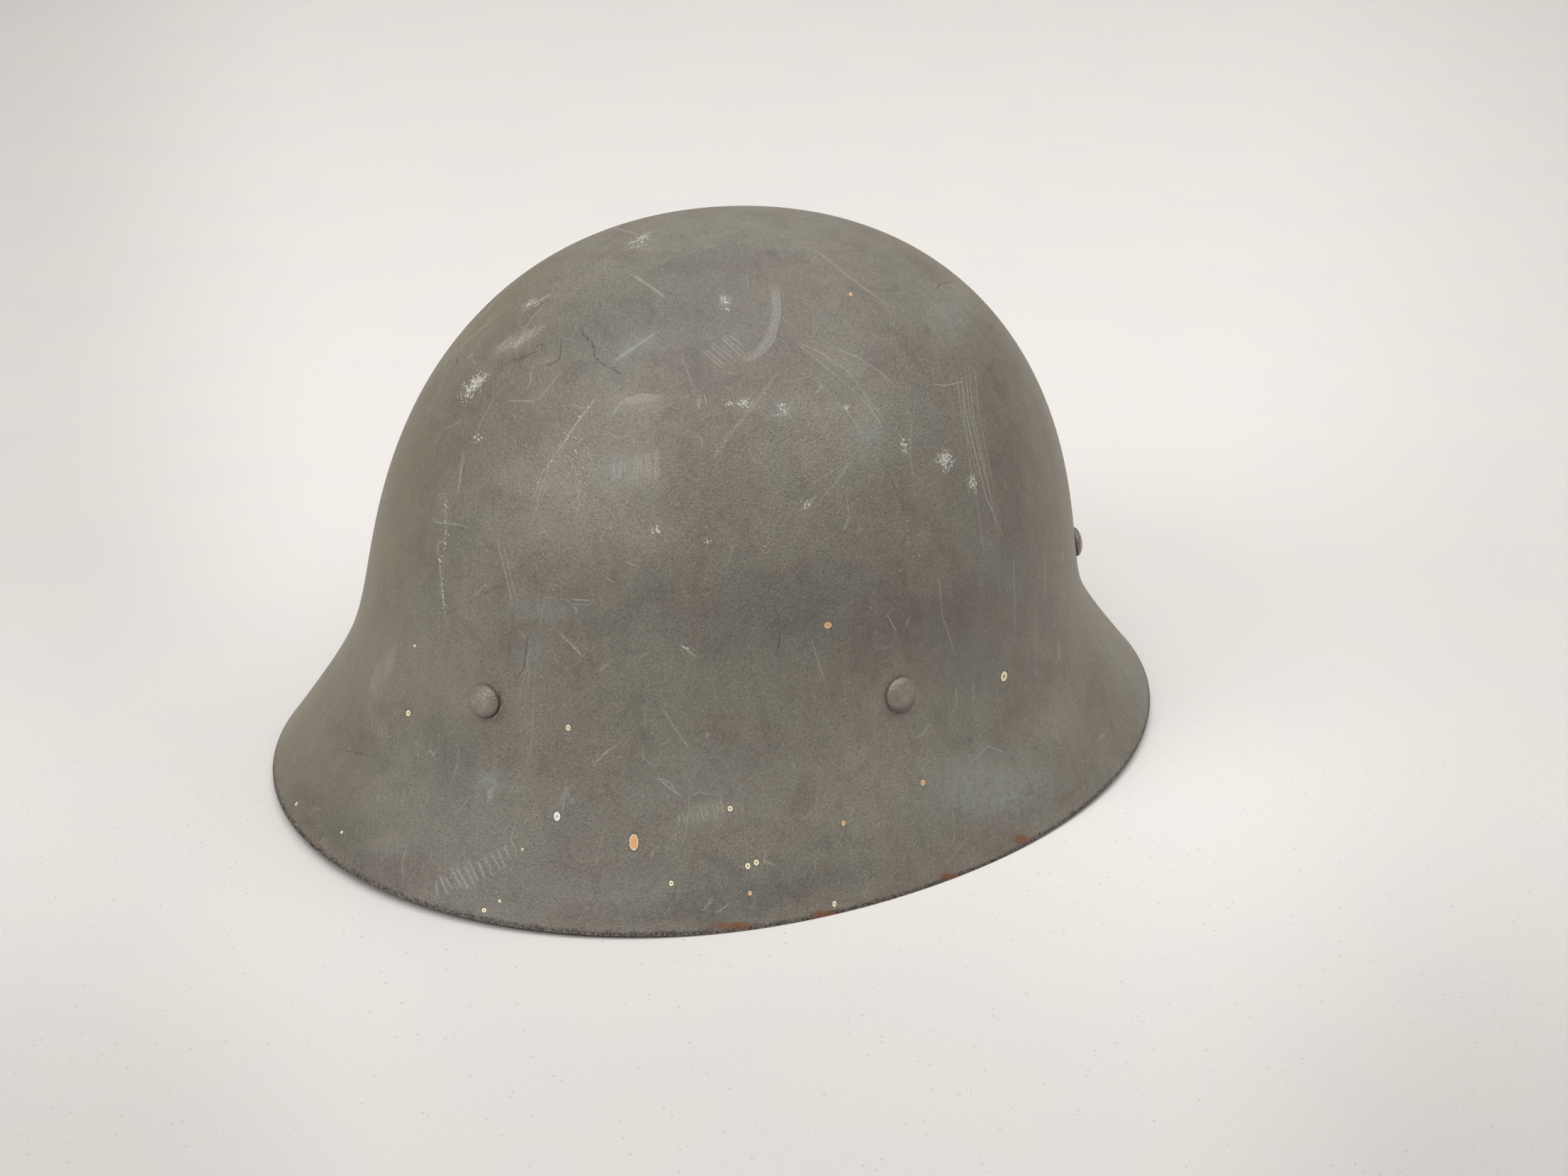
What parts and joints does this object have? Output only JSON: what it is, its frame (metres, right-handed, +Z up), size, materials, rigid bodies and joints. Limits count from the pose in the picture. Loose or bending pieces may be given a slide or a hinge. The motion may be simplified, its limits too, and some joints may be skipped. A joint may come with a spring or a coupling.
{
  "type": "steel helmet",
  "caption": "Bell-shaped steel helmet with a flared skirt, riveted to a hoop that carries a leather liner, pads and a buckled chin strap.",
  "frame": {"origin": "middle of the footprint on the plane that the rim rests on", "axes": "+Z up to the crown, the front of the helmet faces -Y, +X towards the wearer's left"},
  "size_m": [0.253, 0.3236, 0.1825],
  "materials": {
    "shell_paint": "worn matte textured paint",
    "rivet_paint": "worn matte paint",
    "dull_steel": "dull, lightly rusted",
    "bright_steel": "worn plated",
    "liner_leather": "aged tan",
    "strap_leather": "aged brown",
    "pad_felt": "grey felt",
    "lace_cotton": "waxed cotton cord"
  },
  "bodies": {
    "helmet": {"shell": "shell_paint", "shell_rivets": "rivet_paint", "rivet_washers": "bright_steel", "rivet_spacers": "dull_steel", "left_strap_lug": "dull_steel", "right_strap_lug": "dull_steel", "liner_hoop": "dull_steel", "hoop_rivets": "bright_steel", "sweatband": "liner_leather", "tongue_front_left": "liner_leather", "tongue_left": "liner_leather", "tongue_rear_left": "liner_leather", "tongue_rear_right": "liner_leather", "tongue_right": "liner_leather", "tongue_front_right": "liner_leather", "lace_eyelets": "bright_steel", "crown_lace": "lace_cotton", "front_pad": "pad_felt", "rear_left_pad": "pad_felt", "rear_right_pad": "pad_felt"},
    "chin_strap": {"left_strap_ring": "dull_steel", "right_strap_ring": "dull_steel", "short_strap": "strap_leather", "long_strap": "strap_leather", "strap_rivets": "bright_steel", "strap_keeper": "strap_leather", "buckle_frame": "bright_steel"},
    "roller": {"buckle_roller": "bright_steel"},
    "prong": {"buckle_prong": "bright_steel"}
  },
  "joints": [
    {"name": "chin_strap_swing", "type": "hinge", "parent": "helmet", "child": "chin_strap", "pos_m": [0, -0.00075, 0.03604], "axis": [1, 0, 0], "range_deg": [0, 156]},
    {"name": "buckle_roller_turn", "type": "hinge", "parent": "chin_strap", "child": "roller", "pos_m": [0.06361, -0.10424, 0.01505], "axis": [0, -0.1987, 0.9801], "continuous": true},
    {"name": "buckle_prong_swing", "type": "hinge", "parent": "chin_strap", "child": "prong", "pos_m": [0.07408, -0.09112, 0.01772], "axis": [0, -0.1987, 0.9801], "range_deg": [0, 20]}
  ]
}
